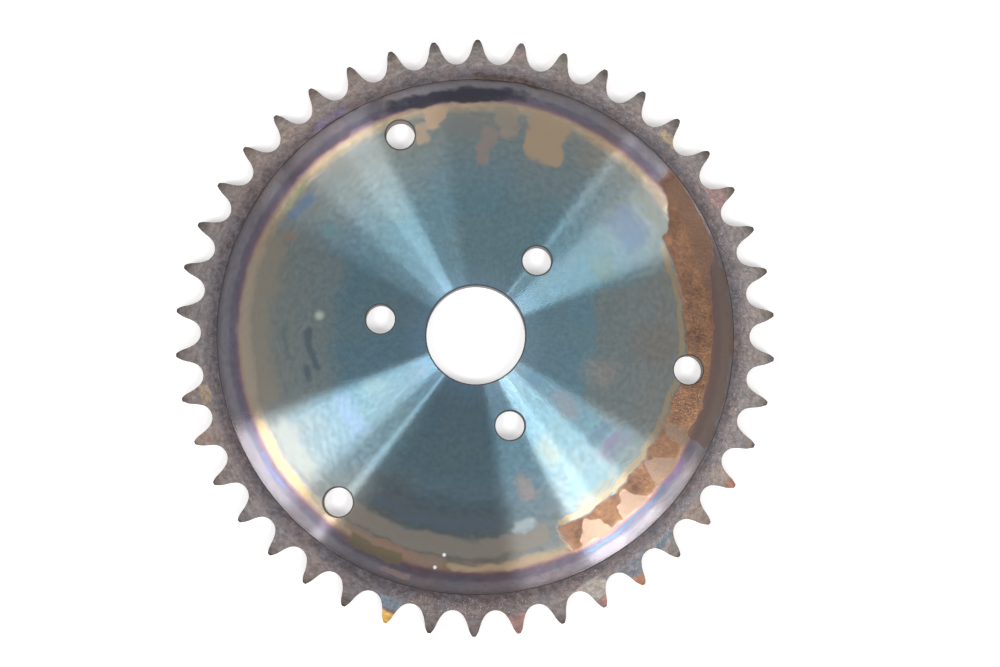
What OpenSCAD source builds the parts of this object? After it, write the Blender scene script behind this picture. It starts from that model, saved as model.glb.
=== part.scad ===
// Plate sprocket for a roller chain: one flat steel piece with a plain bore and two rings of bolt holes.
// It lies flat. The origin is the centre of the bore at the lower face, and +Z points up along the bore.
// The blank is turned on both sides, and a form cutter takes each tooth space out of its edge.

/* [Chain] */
// Number of teeth
teeth = 42; // [40:1:60]
// Pitch of the chain, from roller to roller
chain_pitch = 12.7; // [12.3:0.05:14.5]
// Diameter of the chain's rollers
roller_d = 7.77; // [7.3:0.01:8]
// Room inside the circle of the rollers' centres for the chain's side plates
side_plate_room = 8.85; // [8:0.05:11]

/* [Plate] */
// Thickness of the web, which carries the bore and the bolt holes
web_t = 6.35; // [6:0.05:10]
// Width of the teeth, which run between the chain's inner plates
tooth_w = 5.8; // [4.5:0.05:6.2]
// Diameter of the bore
bore_d = 29.3; // [16:0.1:44]
// Edge break at both ends of the bore
bore_break = 0.35; // [0.1:0.05:1]

/* [Bolt holes] */
// Number of holes in each ring
bolt_count = 3; // [3:1:6]
// Diameter of the bolt holes
bolt_hole_d = 8.6; // [5:0.1:9.5]
// Diameter of the inner ring of bolt holes
inner_pcd = 57.15; // [50:0.05:72]
// Diameter of the outer ring of bolt holes
outer_pcd = 127.3; // [96:0.1:134]
// Edge break at both ends of a bolt hole
hole_break = 0.25; // [0.1:0.05:0.6]
// Angle of the first inner bolt hole from +X
inner_angle = 51.1; // [0:0.1:120]
// Angle of the first outer bolt hole from +X
outer_angle = 111.1; // [0:0.1:120]

/* [Tooth edges] */
// Angle of the first tooth from +X
tooth_angle = 4.4; // [0:0.1:12]
// How far the rounding of the tooth sides reaches in from the tips
side_round_depth = 3.2; // [1.5:0.1:4.5]
// How much that rounding takes off each side at the tips
side_round_drop = 0.8; // [0.2:0.05:1.4]
// Radius of the worn corners of a tooth's tip
tip_round = 0.5; // [0.2:0.05:0.8]

/* [Hidden] */
$fn = 96;
over = 1;
// Where one curve runs into the next, it starts this far inside it, so that they cross at one point.
hair = 0.0001;

// Standard tooth form: its lengths go with the roller diameter, and its angles with the number of teeth.
seat_factor = 1.005;
seat_play = 0.07615;
work_factor = 0.8;
flank_factor = 1.3025;
top_factor = 1.4;
tip_factor = 0.6;
seat_angle = 35 + 60 / teeth;
work_angle = 18 - 56 / teeth;
top_angle = 17 - 64 / teeth;

// Half the angle from one tooth to the next, the circle of the rollers' centres, and the tips
half_step = 180 / teeth;
pitch_r = chain_pitch / 2 / sin(half_step);
outer_r = fine(chain_pitch * (tip_factor + 1 / tan(half_step)) / 2);

// Radii of the seat of a roller, of the working curve above it and of the topping curve at the tip,
// and the straight flank between the last two
work_offset = fine(work_factor * roller_d);
seat_r = fine((seat_factor * roller_d + seat_play) / 2);
work_r = seat_r + work_offset - hair;
top_r = fine(roller_d * (work_factor * cos(work_angle) + top_factor * cos(top_angle) - flank_factor)
    - seat_play / 2);
flank = fine(roller_d * (top_factor * sin(top_angle) - work_factor * sin(work_angle)));

// Centres of the topping curve and of the sprocket, from the centre of the working curve,
// with +X towards the upper end of that curve
tilt = seat_angle - work_angle;
top_c = [work_r + top_r, flank];
hub_c = turned([work_offset * cos(seat_angle), -work_offset * sin(seat_angle) - pitch_r], tilt);

// The worn corner touches the topping curve and runs out over the turned tip at a small angle.
run_out = 15;
// Angle beside a tooth's centre line that no cutter reaches
land_keep = 0.05;
tip_r = min(tip_round, 0.9 * full_tip_round());
tip_c_r = outer_r - tip_r * cos(run_out);
tip_dir = direction(hub_c - top_c) - angle_between(norm(hub_c - top_c), top_r - tip_r, tip_c_r);
tip_c = top_c + (top_r - tip_r) * [cos(tip_dir), sin(tip_dir)];

// Step from the web down to the rim, and the rounded sides of the teeth
rim_drop = (web_t - tooth_w) / 2;
web_r = pitch_r - side_plate_room;
round_start = outer_r - side_round_depth;
side_r = (side_round_depth ^ 2 + side_round_drop ^ 2) / (2 * side_round_drop);

// Keeps a length to a ten-thousandth.
function fine(size) = round(size / hair) * hair;

function turned(p, angle) = [p.x * cos(angle) - p.y * sin(angle), p.x * sin(angle) + p.y * cos(angle)];

function direction(v) = atan2(v.y, v.x);

// Angle between two sides of a triangle whose third side is known.
function angle_between(side_a, side_b, third) =
    acos((side_a ^ 2 + side_b ^ 2 - third ^ 2) / (2 * side_a * side_b));

// Radius at which the two worn corners of a tip would meet on the tooth's centre line.
function full_tip_round() =
    let (c = turned(top_c - hub_c, half_step - tilt))
    let (rise = outer_r - c.y)
    (top_r ^ 2 - c.x ^ 2 - rise ^ 2) / (2 * (top_r - rise));

// The right side of a tooth space. The origin is the roller's centre, and +Y points outwards.
module flank_space() {
    rotate(-seat_angle)
        translate([-work_offset, 0])
            rotate(work_angle) {
                intersection() {
                    circle(r = work_r);
                    polygon([[0, 0], 2 * work_r * [cos(work_angle), -sin(work_angle)], [2 * work_r, 0]]);
                }
                square([work_r, flank]);
                difference() {
                    translate([0, flank]) square([work_r + top_r, top_r + over]);
                    translate(top_c) circle(r = top_r);
                }
                translate(top_c) rotate(tip_dir) tip_corner();
            }
}

// What wear takes off one corner of a tip. The origin is the topping curve's centre,
// and +X points at the end of that curve.
module tip_corner() {
    tip_end = direction(tip_c - hub_c) - tip_dir;
    translate([top_r - tip_r + hair, 0])
        difference() {
            polygon([[0, 0], [2 * tip_r, 0], 2 * tip_r * [cos(tip_end), sin(tip_end)]]);
            circle(r = tip_r);
        }
}

// The space between two teeth, from land to land, as its cutter has it. +Y points outwards.
module tooth_space() {
    reach = outer_r + over;
    side = reach * tan(half_step - land_keep);
    intersection() {
        translate([0, pitch_r]) {
            circle(r = seat_r);
            flank_space();
            mirror([1, 0]) flank_space();
        }
        polygon([[0, 0], [side, reach], [-side, reach]]);
    }
}

// The turned blank: web, step, rim and the rounded sides of the tooth band.
module blank() {
    bore_r = bore_d / 2;
    rim_low = rim_drop;
    rim_high = web_t - rim_drop;
    rotate_extrude() {
        polygon([
            [bore_r, bore_break],
            [bore_r + bore_break, 0],
            [web_r, 0],
            [web_r + rim_drop, rim_low],
            [round_start, rim_low],
            [round_start, rim_high],
            [web_r + rim_drop, rim_high],
            [web_r, web_t],
            [bore_r + bore_break, web_t],
            [bore_r, web_t - bore_break]
        ]);
        intersection() {
            translate([round_start, rim_low]) square([side_round_depth, tooth_w]);
            translate([round_start, rim_low + side_r]) circle(r = side_r);
            translate([round_start, rim_high - side_r]) circle(r = side_r);
        }
    }
}

module bolt_hole() {
    r = bolt_hole_d / 2;
    wide = r + hole_break + over;
    translate([0, 0, -over]) cylinder(h = web_t + 2 * over, r = r);
    translate([0, 0, -over]) cylinder(h = hole_break + over, r1 = wide, r2 = r);
    translate([0, 0, web_t - hole_break]) cylinder(h = hole_break + over, r1 = r, r2 = wide);
}

module bolt_ring(pcd, first_angle) {
    for (i = [0 : bolt_count - 1])
        rotate(first_angle + i * 360 / bolt_count)
            translate([pcd / 2, 0, 0]) bolt_hole();
}

module sprocket() {
    color("slategray")
        difference() {
            blank();
            for (i = [0 : teeth - 1])
                rotate(tooth_angle + (2 * i + 1) * half_step - 90)
                    translate([0, 0, -over])
                        linear_extrude(web_t + 2 * over) tooth_space();
            bolt_ring(inner_pcd, inner_angle);
            bolt_ring(outer_pcd, outer_angle);
        }
}

sprocket();
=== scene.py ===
import math

import bpy
from mathutils import Matrix, Vector

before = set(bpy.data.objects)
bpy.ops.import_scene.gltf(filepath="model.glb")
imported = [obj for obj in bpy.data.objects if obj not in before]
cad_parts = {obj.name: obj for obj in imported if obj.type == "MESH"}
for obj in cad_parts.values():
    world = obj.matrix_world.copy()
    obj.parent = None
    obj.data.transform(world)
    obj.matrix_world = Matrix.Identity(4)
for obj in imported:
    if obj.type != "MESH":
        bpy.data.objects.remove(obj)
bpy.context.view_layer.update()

MM = 0.001

# Directions are in degrees, anticlockwise from +X as seen from above.
# Radii are in millimetres from the axis of the bore.
FIRST_TOOTH = 4.4
TOOTH_STEP = 360 / 42
BORE_R = 14.65
BOLT_HOLE_R = 4.3
BOLT_CIRCLES = ((28.575, 51.1), (63.65, 111.1))
# Slope of the turning grooves, and the height of the grooves and of the scale
GROOVE_LEAN = 0.04
GROOVE_HEIGHT = 0.006
SCALE_HEIGHT = 0.25
STEP_R = 76.1
TIP_R = 88.55

# Strength of the sky, and of all the light that reaches the turned face outside the bright fans.
# Colours are given as they look in that light.
SKY = 0.5
PLAIN_LIGHT = 0.57


def seen(red, green, blue):
    """The linear colour of a metal that shows these display values, 0 to 255, in the plain light."""
    linear = []
    for value in (red, green, blue):
        share = value / 255
        linear.append((share / 12.92 if share <= 0.04045 else ((share + 0.055) / 1.055) ** 2.4) / PLAIN_LIGHT)
    return (*linear, 1.0)


class Graph:
    """Builds the nodes of one material or world from plain calls."""

    def __init__(self, owner):
        owner.use_nodes = True
        self.tree = owner.node_tree
        self.tree.nodes.clear()

    def add(self, kind, inputs=None, **settings):
        node = self.tree.nodes.new("ShaderNode" + kind)
        for name, value in settings.items():
            setattr(node, name, value)
        for key, value in (inputs or {}).items():
            self.feed(node.inputs[key], value)
        return node

    def feed(self, socket, value):
        if isinstance(value, bpy.types.NodeSocket):
            self.tree.links.new(value, socket)
        else:
            socket.default_value = value

    def math(self, operation, *values, clamp=False):
        node = self.add("Math", dict(enumerate(values)), operation=operation, use_clamp=clamp)
        return node.outputs[0]

    def product(self, *values):
        result = values[0]
        for value in values[1:]:
            result = self.math("MULTIPLY", result, value)
        return result

    def vector(self, x, y, z):
        return self.add("CombineXYZ", {"X": x, "Y": y, "Z": z}).outputs[0]

    def grey(self, value):
        return self.add("CombineColor", {"Red": value, "Green": value, "Blue": value}).outputs[0]

    def scaled(self, vector, scale):
        node = self.add("VectorMath", {0: vector, "Scale": scale}, operation="SCALE")
        return node.outputs[0]

    def moved(self, vector, offset):
        return self.add("VectorMath", {0: vector, 1: offset}, operation="ADD").outputs[0]

    def rise(self, value, low, high, to_low=0.0, to_high=1.0):
        """Goes smoothly from to_low to to_high as value goes from low to high."""
        inputs = {"Value": value, "From Min": low, "From Max": high, "To Min": to_low, "To Max": to_high}
        return self.add("MapRange", inputs, interpolation_type="SMOOTHSTEP").outputs[0]

    def noise(self, vector, scale, detail=2.0, roughness=0.5):
        inputs = {"Vector": vector, "Scale": scale, "Detail": detail, "Roughness": roughness}
        return self.add("TexNoise", inputs).outputs[0]

    def mix(self, share, first, second, blend="MIX"):
        node = self.add("Mix", data_type="RGBA", blend_type=blend)
        self.feed(node.inputs[0], share)
        self.feed(node.inputs[6], first)
        self.feed(node.inputs[7], second)
        return node.outputs[2]

    def between(self, share, first, second):
        """A plain number that goes from first to second with share."""
        return self.add("Mix", {0: share, 2: first, 3: second}, data_type="FLOAT").outputs[0]

    def ramp(self, value, stops):
        """A colour that follows value through (place, colour) stops, with places from 0 to 1."""
        node = self.add("ValToRGB", {"Fac": value})
        elements = node.color_ramp.elements
        while len(elements) < len(stops):
            elements.new(0.5)
        for element, (place, colour) in zip(elements, stops):
            element.position = place
            element.color = colour
        return node.outputs[0]

    def finish(self, shader, kind="OutputMaterial"):
        self.tree.links.new(shader, self.add(kind).inputs["Surface"])


class Plate:
    """Where a point of the plate lies, and masks that are cut by direction and radius."""

    def __init__(self, graph):
        self.graph = graph
        self.place = graph.scaled(graph.add("TexCoord").outputs["Object"], 1 / MM)
        split = graph.add("SeparateXYZ", {0: self.place}).outputs
        self.x, self.y = split[0], split[1]
        squares = graph.math("MULTIPLY_ADD", self.x, self.x, graph.math("MULTIPLY", self.y, self.y))
        self.radius = graph.math("SQRT", squares)
        self.angle = graph.math("DEGREES", graph.math("ARCTAN2", self.y, self.x))
        self.out_x = graph.math("DIVIDE", self.x, self.radius)
        self.out_y = graph.math("DIVIDE", self.y, self.radius)
        normal = graph.add("NewGeometry").outputs["True Normal"]
        upright = graph.add("SeparateXYZ", {0: normal}).outputs[2]
        self.flatness = graph.math("ABSOLUTE", upright)

        # Noise keeps to a few shared places, because a shader holds only so many values at a time.
        self.elsewhere = graph.moved(self.place, (311.0, 97.0, 33.0))
        self.along_arcs = self.stretched(35.0)
        self.in_grooves = self.stretched(1.5)

        # The edges of stains waver and fray: these are what their masks are cut from.
        waver = self.about_zero(self.place, 0.09)
        self.loose_radius = graph.math("MULTIPLY_ADD", waver, 6.0, self.radius)
        waver = self.about_zero(self.elsewhere, 0.08)
        self.loose_angle = graph.math("MULTIPLY_ADD", waver, 12.0, self.angle)
        self.fray = self.about_zero(self.along_arcs, 0.45, 6.0)

    def stretched(self, along):
        """A place for noise that is drawn out along the turning grooves."""
        graph = self.graph
        return graph.vector(
            graph.math("MULTIPLY", self.out_x, along), graph.math("MULTIPLY", self.out_y, along), self.radius
        )

    def about_zero(self, place, scale, detail=3.0):
        return self.graph.math("SUBTRACT", self.graph.noise(place, scale, detail, 0.6), 0.5)

    def off_angle(self, middle, loose=True, period=360.0):
        """Degrees from the direction middle, or from the nearest of its repeats."""
        angle = self.loose_angle if loose else self.angle
        turned = self.graph.math("SUBTRACT", angle, middle)
        return self.graph.math("WRAP", turned, period / 2, -period / 2)

    def sector(self, first, last, soft):
        """1 between two directions, going to 0 over the soft degrees outside them."""
        off = self.graph.math("ABSOLUTE", self.off_angle((first + last) / 2))
        half = (last - first) / 2
        return self.graph.rise(off, half + soft, half)

    def band(self, inner, outer, soft):
        """1 between two radii, going to 0 over the soft millimetres outside them."""
        rising = self.graph.rise(self.loose_radius, inner - soft, inner)
        falling = self.graph.rise(self.loose_radius, outer + soft, outer)
        return self.graph.math("MULTIPLY", rising, falling)

    def patch(self, first, last, inner, outer, soft=2.0, soft_angle=None, full=0.95):
        """1 within a piece of a ring with frayed edges. Its ends are as soft as its sides, or as told."""
        middle = (inner + outer) / 2
        soft_angle = math.degrees(soft / middle) if soft_angle is None else soft_angle
        sector = self.sector(first + soft_angle / 2, last - soft_angle / 2, soft_angle)
        field = self.graph.math("MULTIPLY", sector, self.band(inner + soft / 2, outer - soft / 2, soft))
        field = self.graph.math("MULTIPLY_ADD", self.fray, 0.8, field)
        return self.graph.rise(field, 0.27, full)

    def spot(self, direction, radius, size, soft=0.5):
        """1 within a round spot."""
        turn = math.radians(direction)
        middle = (radius * math.cos(turn), radius * math.sin(turn), 0.0)
        ends = {0: self.graph.vector(self.x, self.y, 0.0), 1: middle}
        away = self.graph.add("VectorMath", ends, operation="DISTANCE").outputs["Value"]
        return self.graph.rise(away, size * (1 + soft), size * (1 - soft))

    def from_bolt_hole(self, circle_r, first):
        """Distance from the axis of the nearest bolt hole of a ring of three."""
        graph = self.graph
        turned = graph.math("RADIANS", self.off_angle(first, loose=False, period=120.0))
        outwards = graph.math("MULTIPLY", self.radius, graph.math("COSINE", turned))
        along = graph.math("SUBTRACT", outwards, circle_r)
        aside = graph.math("MULTIPLY", self.radius, graph.math("SINE", turned))
        squares = graph.math("MULTIPLY_ADD", along, along, graph.math("MULTIPLY", aside, aside))
        return graph.math("SQRT", squares)


class Coat:
    """The colour of the steel, laid on in layers."""

    def __init__(self, plate, colour):
        self.plate = plate
        self.graph = plate.graph
        self.colour = colour

    def lay(self, mask, colour, strength=1.0, blend="MIX"):
        share = mask if strength == 1.0 else self.graph.math("MULTIPLY", mask, strength)
        self.colour = self.graph.mix(share, self.colour, colour, blend)

    def stain(self, first, last, inner, outer, colour, strength=0.8, soft=2.0):
        mask = self.plate.patch(first, last, inner, outer, 2 * soft)
        self.lay(mask, seen(*colour), strength)

    def tint(self, first, last, inner, outer, colour, strength=0.7, soft=3.0):
        """A stain that has no clear edge."""
        mask = self.plate.patch(first, last, inner, outer, 2.2 * soft, full=1.15)
        self.lay(mask, seen(*colour), 0.75 * strength)


# Colours from the bore to the tips of the teeth. Up to the step they are what the heat of hardening the teeth
# has left; past it the steel is darker at the foot of the step and towards the tips.
COLOURS_BY_RADIUS = (
    (14.65, (96, 122, 138)),
    (22.0, (87, 113, 125)),
    (40.0, (88, 114, 124)),
    (50.0, (98, 117, 125)),
    (58.0, (104, 117, 120)),
    (66.0, (116, 120, 118)),
    (67.2, (140, 134, 122)),
    (68.6, (155, 142, 120)),
    (69.6, (144, 126, 116)),
    (70.2, (118, 98, 106)),
    (70.9, (98, 92, 103)),
    (72.3, (98, 95, 106)),
    (73.2, (112, 110, 117)),
    (74.6, (112, 109, 114)),
    (75.6, (102, 98, 102)),
    (76.4, (78, 74, 77)),
    (77.4, (80, 76, 78)),
    (79.0, (94, 89, 91)),
    (81.0, (110, 105, 104)),
    (85.0, (108, 103, 100)),
    (87.5, (92, 87, 84)),
    (88.55, (66, 62, 61)),
)


def colours_by_radius(plate):
    graph = plate.graph
    waver = plate.about_zero(plate.along_arcs, 0.2)
    radius = graph.math("MULTIPLY_ADD", waver, 1.1, plate.radius)
    share = graph.math("DIVIDE", graph.math("SUBTRACT", radius, BORE_R), TIP_R - BORE_R)
    stops = [((r - BORE_R) / (TIP_R - BORE_R), seen(*colour)) for r, colour in COLOURS_BY_RADIUS]
    return graph.ramp(share, stops)


def lay_clouds_and_painted_shade(coat):
    """Slow changes of tone over the whole turned face, and painted shade that darkens the lower left half,
    more so at the bottom.
    """
    plate, graph = coat.plate, coat.graph
    # Painted shade: the lower left half is darkened, and the bottom and a band near its edge darker still.
    coat.lay(plate.sector(150, 292, 20), (0.77, 0.77, 0.79, 1.0), blend="MULTIPLY")
    coat.lay(plate.sector(242, 276, 10), (0.78, 0.76, 0.77, 1.0), blend="MULTIPLY")
    bottom = graph.math("MULTIPLY", plate.sector(242, 276, 10), plate.band(52, 68, 6))
    coat.lay(bottom, (0.78, 0.78, 0.78, 1.0), blend="MULTIPLY")
    warm = graph.rise(plate.about_zero(plate.elsewhere, 0.045), -0.05, 0.14)
    coat.lay(warm, (1.12, 1.0, 0.92, 1.0), 0.8, "MULTIPLY")
    coat.lay(plate.patch(150, 202, 42, 66, 10), seen(104, 108, 104), 0.45)
    coat.lay(plate.patch(-32, 20, 36, 62, 9), seen(108, 108, 104), 0.6)
    coat.tint(-10, 6, 45, 60, (112, 98, 90), 0.6, 6.0)
    coat.tint(-22, -10, 32, 44, (132, 126, 120), 0.7, 4.0)
    tone = graph.rise(graph.noise(plate.along_arcs, 0.8, 4.0, 0.6), 0.25, 0.75, 0.88, 1.12)
    coat.lay(1.0, graph.grey(tone), blend="MULTIPLY")


def lay_top_stains_and_reflection(coat):
    """Straw coloured tongues that reach in from the rim, and above them a dark lens that is a painted dark
    reflection.
    """
    coat.stain(65, 77, 55, 69, (152, 134, 112), 0.9, 2.0)
    coat.stain(80, 85, 60, 69, (138, 129, 118), 0.8, 1.5)
    coat.stain(85, 90, 51, 62, (132, 122, 116), 0.8, 2.0)
    coat.stain(99, 104, 62, 69.5, (166, 144, 122), 0.9, 1.5)
    coat.stain(103, 107, 58, 66, (158, 140, 122), 0.8, 1.5)
    coat.stain(90, 99, 59, 65, (112, 116, 116), 0.7, 2.0)
    # Painted reflection: a dark lens on the ring above the tongues, as if the ring reflected something dark.
    coat.lay(coat.plate.patch(80, 112, 70.0, 74.4, 2.4, 10.0), seen(56, 55, 64), 0.95)
    coat.lay(coat.plate.patch(78, 91, 75.8, 78.2, 1.0, 3.0), seen(70, 61, 57), 0.9)
    coat.lay(coat.plate.patch(120, 128, 76.3, 79.0, 1.0, 2.0), seen(98, 90, 108), 0.8)
    coat.lay(coat.plate.patch(112, 142, 70.2, 76.4, 1.5, 6.0), (0.6, 0.6, 0.62, 1.0), blend="MULTIPLY")


def lay_left_stains(coat):
    """A broad straw zone, and dark blots inside it."""
    coat.stain(152, 200, 60, 69.5, (118, 112, 102), 0.75, 5.0)
    coat.stain(158, 196, 66, 69.5, (134, 124, 112), 0.7, 2.0)
    coat.stain(150, 154, 60, 64, (122, 104, 94), 0.7, 2.0)
    coat.stain(178, 193, 47.5, 50, (70, 82, 90), 0.8, 1.5)
    coat.stain(190, 196, 50.5, 52.5, (70, 82, 90), 0.8, 1.5)
    coat.stain(176, 190, 55, 57, (80, 92, 98), 0.6, 1.5)
    coat.lay(coat.plate.spot(173.5, 46.5, 1.2, 0.7), seen(156, 164, 156), 0.8)


def lay_bottom_stains(coat):
    """Navy and tan arcs, and brown dots, along the lower edge of the turned face."""
    coat.stain(237, 278, 54, 58, (72, 82, 92), 0.8, 2.0)
    coat.stain(234, 290, 59.5, 66, (114, 108, 100), 0.75, 2.0)
    coat.stain(238, 264, 66, 69.5, (116, 101, 92), 0.8, 1.5)
    coat.stain(244, 256, 66, 69, (122, 98, 84), 0.6, 1.5)
    coat.lay(coat.plate.patch(238, 251, 68.2, 72.0, 1.6), seen(90, 84, 68), 0.8)
    coat.stain(264, 290, 67.5, 69.6, (142, 126, 106), 0.8, 1.2)
    coat.lay(coat.plate.patch(246, 254, 73, 75, 1.0), seen(122, 104, 100), 0.6)
    coat.stain(281, 287, 56, 60, (132, 142, 144), 0.7, 2.0)
    coat.stain(286, 292, 43, 52, (124, 112, 106), 0.6, 3.0)
    coat.lay(coat.plate.spot(260.5, 69.3, 0.5), seen(200, 205, 205))
    coat.lay(coat.plate.spot(262.3, 65.3, 0.5), seen(200, 205, 205))


def lay_fan_tints(coat):
    """Pale iridescent patches, which only show where a softbox lights them."""
    coat.tint(28, 44, 50, 60, (84, 98, 122), 0.7, 3.0)
    coat.tint(22, 33, 38, 47, (102, 114, 104), 0.6, 3.0)
    coat.tint(33, 44, 30, 46, (100, 112, 122), 0.6, 5.0)
    coat.tint(24, 42, 61, 67, (106, 110, 104), 0.8, 2.0)
    coat.tint(34, 44, 66, 69.5, (124, 110, 106), 0.7, 1.5)
    coat.tint(119, 138, 59, 66, (100, 108, 108), 0.6, 3.0)
    coat.tint(140, 149, 62.5, 66.5, (74, 98, 128), 0.8, 1.5)
    coat.tint(139, 147, 67.2, 68.6, (112, 130, 92), 0.8, 0.8)
    coat.tint(142, 149, 50, 56, (76, 116, 116), 0.6, 2.5)
    coat.tint(203, 222, 40, 47, (92, 106, 126), 0.7, 3.0)
    coat.tint(211, 218, 16, 23, (106, 108, 120), 0.7, 3.0)
    coat.tint(203, 214, 28, 38, (96, 112, 112), 0.6, 4.0)
    coat.tint(203, 223, 59, 66, (114, 116, 112), 0.8, 3.0)
    coat.tint(201, 224, 66.5, 69.6, (142, 126, 96), 0.9, 1.0)
    coat.tint(209, 220, 70.7, 72.2, (84, 96, 128), 0.8, 0.6)
    coat.tint(296, 308, 35, 46, (112, 112, 100), 0.7, 4.0)
    coat.tint(300, 315, 50, 58, (88, 118, 128), 0.6, 3.0)
    coat.tint(300, 316, 56, 60, (116, 110, 92), 0.6, 2.0)
    coat.tint(316, 329, 44, 49, (82, 98, 112), 0.7, 2.0)
    coat.tint(316, 329, 49, 56, (104, 102, 116), 0.7, 2.5)
    coat.tint(320, 328, 50, 52, (112, 94, 126), 0.7, 1.5)
    coat.tint(316, 329, 28, 40, (114, 106, 110), 0.7, 4.0)
    coat.tint(316, 329, 19, 25, (78, 104, 126), 0.7, 2.5)
    coat.lay(coat.plate.patch(297, 323, 71.2, 71.9, 0.4), seen(74, 98, 120), 0.9)
    coat.lay(coat.plate.patch(322, 328, 71.0, 72.0, 0.5), seen(104, 84, 122), 0.8)


def rust_mask(plate):
    """The rust on the right, with what a smaller sprocket that lay on the plate has left of it."""
    graph = plate.graph
    radius = graph.math("MULTIPLY_ADD", plate.fray, 2.5, plate.loose_radius)
    # The inner edge runs out to the rim at the upper end.
    inner = graph.rise(plate.off_angle(0.0), 22.0, 38.0, 61.4, 69.8)
    inside = graph.math("SUBTRACT", radius, inner)
    rising = graph.rise(inside, -0.5, 0.7)
    outer = graph.rise(plate.off_angle(0.0), 6.0, 26.0, 69.6, 75.6)
    outside = graph.math("SUBTRACT", radius, outer)
    falling = graph.rise(outside, 1.0, -0.6)
    full = graph.product(rising, falling, plate.sector(-65, 41, 3.0))

    # Teeth of the other sprocket kept the damp under them, and the gaps between them stayed clean.
    off = graph.math("ABSOLUTE", plate.off_angle(310.0, period=11.0))
    reach = graph.rise(off, 1.0, 5.2, 70.2, 62.0)
    clean = graph.rise(graph.math("SUBTRACT", radius, reach), -0.2, 0.8)
    clean = graph.math("MULTIPLY", clean, plate.sector(-66, -26, 4.0))
    return full, graph.math("MULTIPLY", full, clean)


def lay_rust(coat):
    plate, graph = coat.plate, coat.graph
    full, clean = rust_mask(plate)
    grain = graph.noise(plate.along_arcs, 1.1, 5.0, 0.65)
    clots = graph.noise(plate.elsewhere, 0.22, 3.0, 0.6)
    stops = [
        (0.30, seen(56, 38, 30)),
        (0.42, seen(92, 66, 51)),
        (0.55, seen(112, 82, 62)),
        (0.70, seen(138, 100, 68)),
    ]
    colour = graph.ramp(graph.between(0.45, clots, grain), stops)
    coat.lay(plate.patch(-66, 24, 59.4, 61.2, 0.6), seen(134, 120, 98), 0.8)
    coat.lay(full, colour, 0.92)
    coat.lay(clean, seen(130, 112, 98), 0.8)
    coat.lay(plate.patch(-24, 40, 69.5, 76.0, 1.2), seen(96, 78, 66), 0.7)
    return graph.math("SUBTRACT", full, graph.math("MULTIPLY", clean, 0.7), clamp=True)


def lay_rim(coat):
    """Scale, specks and odd tints on the rim and the teeth."""
    plate, graph = coat.plate, coat.graph
    rim = graph.rise(plate.radius, STEP_R - 0.3, STEP_R + 0.6)
    blots = graph.noise(plate.place, 0.8, 5.0, 0.7)
    grain = graph.between(0.5, blots, graph.noise(plate.along_arcs, 0.9, 4.0, 0.7))
    tone = graph.rise(grain, 0.34, 0.66, 0.68, 1.3)
    coat.lay(rim, graph.grey(tone), blend="MULTIPLY")
    hue = plate.about_zero(plate.elsewhere, 0.35)
    coat.lay(graph.product(rim, graph.rise(hue, 0.02, 0.16)), seen(108, 96, 94), 0.35)
    coat.lay(graph.product(rim, graph.rise(hue, -0.04, -0.18)), seen(92, 94, 102), 0.35)
    specks = graph.rise(graph.noise(plate.elsewhere, 2.6, 3.0, 0.8), 0.60, 0.68)
    roots = graph.product(specks, plate.band(78.5, 82.5, 1.5), plate.sector(-100, 62, 12))
    coat.lay(roots, seen(178, 168, 160), 0.7)
    return rim


def lay_tooth_tints(coat):
    """Tints that single teeth have, counted anticlockwise from the first."""
    tints = (
        (3, 80.0, 85.0, (138, 104, 104), 0.6),
        (5, 80.5, 83.5, (146, 128, 96), 0.7),
        (8, 84.0, 89.0, (112, 116, 104), 0.6),
        (9, 83.0, 89.0, (128, 114, 112), 0.6),
        (22, 80.0, 83.0, (136, 120, 92), 0.6),
        (23, 82.0, 89.0, (126, 108, 100), 0.6),
        (29, 84.5, 89.0, (178, 140, 66), 0.95),
        (29, 80.5, 84.0, (84, 100, 112), 0.8),
        (32, 83.0, 89.0, (130, 96, 90), 0.7),
        (34, 85.0, 89.0, (134, 98, 92), 0.8),
        (34, 80.0, 85.0, (138, 132, 124), 0.8),
        (35, 85.0, 89.0, (140, 94, 66), 0.8),
        (35, 80.0, 85.0, (88, 98, 112), 0.7),
        (36, 80.0, 82.5, (64, 90, 104), 0.8),
        (37, 81.0, 89.0, (120, 104, 92), 0.7),
        (38, 81.0, 86.0, (124, 112, 98), 0.7),
        (38, 86.0, 89.0, (140, 96, 80), 0.8),
    )
    for tooth, inner, outer, colour, strength in tints:
        middle = FIRST_TOOTH + tooth * TOOTH_STEP
        mask = coat.plate.patch(middle - 3.0, middle + 3.0, inner, outer, 1.5)
        coat.lay(mask, seen(*colour), 0.75 * strength)


def dirty_shaded_edges(plate):
    """1 on the walls and edges of the bore and the bolt holes, and on the walls of the tooth spaces, where
    dirt and painted shade darken the steel.
    """
    graph = plate.graph
    dirt_and_shade = graph.rise(plate.flatness, 0.9, 0.6)
    dirt_and_shade = graph.math("MAXIMUM", dirt_and_shade, graph.rise(plate.radius, BORE_R + 0.55, BORE_R + 0.25))
    for circle_r, first in BOLT_CIRCLES:
        away = plate.from_bolt_hole(circle_r, first)
        dirt_and_shade = graph.math("MAXIMUM", dirt_and_shade, graph.rise(away, BOLT_HOLE_R + 0.6, BOLT_HOLE_R + 0.2))
    return dirt_and_shade


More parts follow.
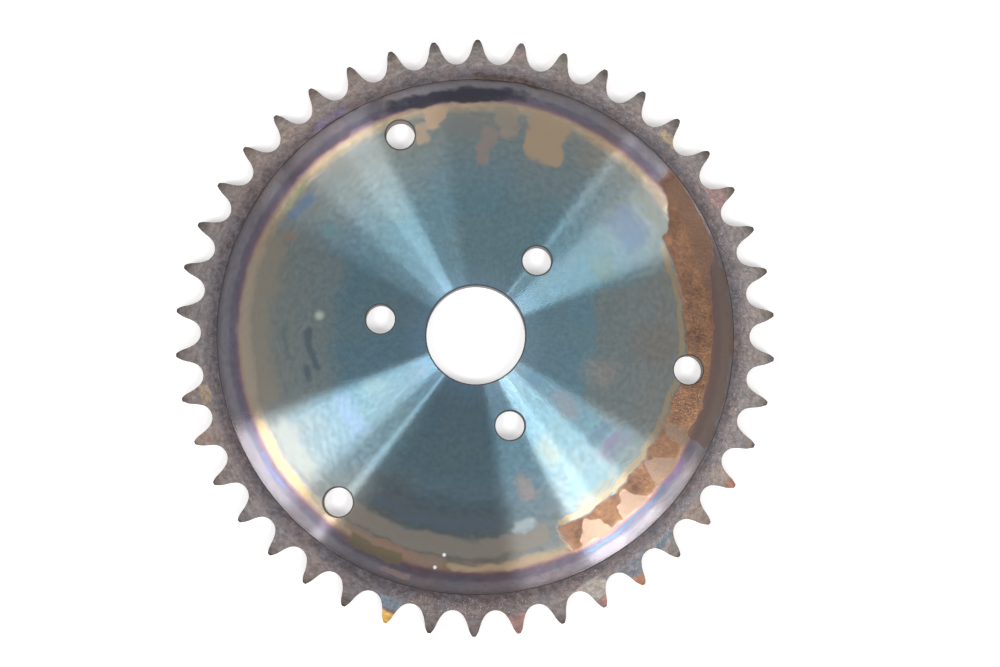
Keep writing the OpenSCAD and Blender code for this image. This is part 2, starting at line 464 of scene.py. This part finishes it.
def surface(plate, rim, rust):
    """The normal, with the turning grooves of the face and the scale of the rim."""
    graph = plate.graph
    # The grooves lean outwards, so that the face is brighter on the lamp's side of the bore than beyond it.
    lean = graph.math("MULTIPLY", plate.radius, -GROOVE_LEAN)
    grooves = graph.math("MULTIPLY_ADD", graph.noise(plate.in_grooves, 2.2, 3.0, 0.6), GROOVE_HEIGHT, lean)
    turned = graph.add("Bump", {"Strength": 1.0, "Distance": MM, "Height": grooves}).outputs[0]
    scale = graph.math("MULTIPLY", graph.noise(plate.place, 1.1, 6.0, 0.7), SCALE_HEIGHT)
    rough = graph.math("MAXIMUM", rim, graph.math("MULTIPLY", rust, 0.5))
    bump = graph.add("Bump", {"Strength": rough, "Distance": MM, "Height": scale, "Normal": turned})
    return bump.outputs[0]


def steel():
    material = bpy.data.materials.new("turned_steel")
    graph = Graph(material)
    plate = Plate(graph)
    coat = Coat(plate, colours_by_radius(plate))
    lay_clouds_and_painted_shade(coat)
    lay_top_stains_and_reflection(coat)
    lay_left_stains(coat)
    lay_bottom_stains(coat)
    lay_fan_tints(coat)
    rust = lay_rust(coat)
    lay_tooth_tints(coat)
    rim = lay_rim(coat)
    dirt_and_shade = dirty_shaded_edges(plate)
    # Dirt and painted shade darken the walls and edges of the bore, the bolt holes and the tooth spaces.
    coat.lay(dirt_and_shade, seen(58, 52, 50), 0.85)

    normal = surface(plate, rim, rust)
    tangent = graph.add("Tangent", direction_type="RADIAL", axis="Z").outputs[0]
    turned = graph.add(
        "BsdfAnisotropic",
        {
            "Color": coat.colour,
            "Roughness": 0.19,
            "Anisotropy": 0.86,
            "Normal": normal,
            "Tangent": tangent,
        },
        distribution="GGX",
    )
    dull = graph.add(
        "BsdfPrincipled",
        {
            "Base Color": coat.colour,
            "Metallic": 1.0,
            "Roughness": graph.between(rim, 0.45, 0.62),
            "Normal": normal,
        },
    )
    # Dark stains are dull. Because the share reads the colour, the shader works out its values in order,
    # and holds few of them at a time.
    stained = graph.rise(coat.colour, 0.16, 0.04, 0.0, 0.35)
    bare = graph.math("MAXIMUM", stained, graph.between(rust, 0.2, 0.32))
    share = graph.between(graph.math("MAXIMUM", rim, dirt_and_shade), bare, 1.0)
    both = graph.add("MixShader", {0: share, 1: turned.outputs[0], 2: dull.outputs[0]})
    graph.finish(both.outputs[0])
    return material


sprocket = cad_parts["sprocket"]
sprocket.material_slots[0].link = "OBJECT"
sprocket.material_slots[0].material = steel()


def table():
    """A round white table top whose edge curves up into the backdrop."""
    flat_r, curve_r, height = 2.2, 0.9, 2.6
    profile = [(flat_r, 0.0)]
    for step in range(1, 13):
        turn = math.radians(7.5 * step)
        profile.append((flat_r + curve_r * math.sin(turn), curve_r - curve_r * math.cos(turn)))
    profile.append((flat_r + curve_r, height))
    rounds = 96
    verts = [(0.0, 0.0, 0.0)]
    for radius, level in profile:
        for step in range(rounds):
            turn = 2 * math.pi * step / rounds
            verts.append((radius * math.cos(turn), radius * math.sin(turn), level))
    faces = [(0, 1 + step, 1 + (step + 1) % rounds) for step in range(rounds)]
    for row in range(len(profile) - 1):
        here = 1 + row * rounds
        for step in range(rounds):
            ahead = (step + 1) % rounds
            faces.append((here + step, here + rounds + step, here + rounds + ahead, here + ahead))
    mesh = bpy.data.meshes.new("table")
    mesh.from_pydata(verts, [], faces)
    mesh.shade_smooth()
    top = bpy.data.objects.new("table", mesh)
    bpy.context.scene.collection.objects.link(top)
    return top


def white_card():
    """Matt white card. It shows full white, and keeps the object's shadow."""
    material = bpy.data.materials.new("white_card")
    graph = Graph(material)
    path = graph.add("LightPath").outputs
    looked_at = graph.math("MAXIMUM", path["Is Camera Ray"], path["Is Glossy Ray"])
    looked_at = graph.math("MAXIMUM", looked_at, path["Is Transmission Ray"])
    card = graph.add("BsdfDiffuse", {"Color": (0.9, 0.885, 0.88, 1.0)})
    strength = graph.math("MULTIPLY", looked_at, 0.4)
    lift = graph.add("Emission", {"Color": (1.0, 1.0, 1.0, 1.0), "Strength": strength})
    both = graph.add("AddShader", {0: card.outputs[0], 1: lift.outputs[0]})
    graph.finish(both.outputs[0])
    return material


floor = table()
floor.data.materials.append(white_card())

world = bpy.data.worlds.new("studio")
bpy.context.scene.world = world
sky = Graph(world)
sky.finish(sky.add("Background", {"Color": (1.0, 1.0, 1.0, 1.0), "Strength": SKY}).outputs[0], "OutputWorld")

# The camera, as in the photograph
camera_data = bpy.data.cameras.new("camera")
camera_data.lens = 78.1206
camera_data.sensor_width = 36.0
camera_data.clip_start = 0.01
camera = bpy.data.objects.new("camera", camera_data)
camera.location = (-0.004999, -0.048731, 0.644950)
camera.rotation_euler = [math.radians(turn) for turn in (4.3939321, -1.11945783, 0.41389006)]
bpy.context.scene.collection.objects.link(camera)
bpy.context.scene.camera = camera


def lamp_way(fan, tilt):
    """The way to a lamp, at this tilt from the vertical, that the turned face shows along fan."""
    sight = camera.location.normalized()
    fan, tilt = math.radians(fan), math.radians(tilt)
    aside = math.hypot(sight.x, sight.y) * math.sin(fan - math.atan2(sight.y, sight.x))
    turn = fan + math.asin(aside / math.sin(tilt))
    return Vector((math.cos(turn) * math.sin(tilt), math.sin(turn) * math.sin(tilt), math.cos(tilt)))


def softbox(name, fan_from, fan_to, strength, colour=(1.0, 1.0, 1.0), upper=20.0, lower=40.0):
    """A softbox between two tilts, which lights up the turned face between two directions."""
    distance = 1.5
    middle = (upper + lower) / 2
    fan = (fan_from + fan_to) / 2
    way = lamp_way(fan, middle)
    up = lamp_way(fan, upper) - lamp_way(fan, lower)
    up = (up - way * up.dot(way)).normalized()
    across = up.cross(way)
    data = bpy.data.lights.new(name, "AREA")
    data.shape = "RECTANGLE"
    data.size = distance * (lamp_way(fan_to, middle) - lamp_way(fan_from, middle)).length
    data.size_y = 2 * distance * math.tan(math.radians(lower - upper) / 2)
    data.energy = strength * data.size * data.size_y * math.pi
    data.color = colour
    lamp = bpy.data.objects.new(name, data)
    axes = Matrix((across, up, way)).transposed().to_4x4()
    lamp.matrix_world = Matrix.Translation(way * distance) @ axes
    bpy.context.scene.collection.objects.link(lamp)


softbox("left_box", 203.5, 221.5, 14.8)
softbox("left_side", 221.5, 230.0, 4.8)
softbox("left_strip", 230.8, 233.2, 13.0)
softbox("front_side", 280.5, 297.5, 3.6)
softbox("right_box_near", 297.5, 306.0, 18.5)
softbox("right_box_middle", 306.0, 316.5, 11.8)
softbox("right_box_far", 316.5, 328.8, 4.6)

bpy.context.scene.view_settings.view_transform = "Standard"
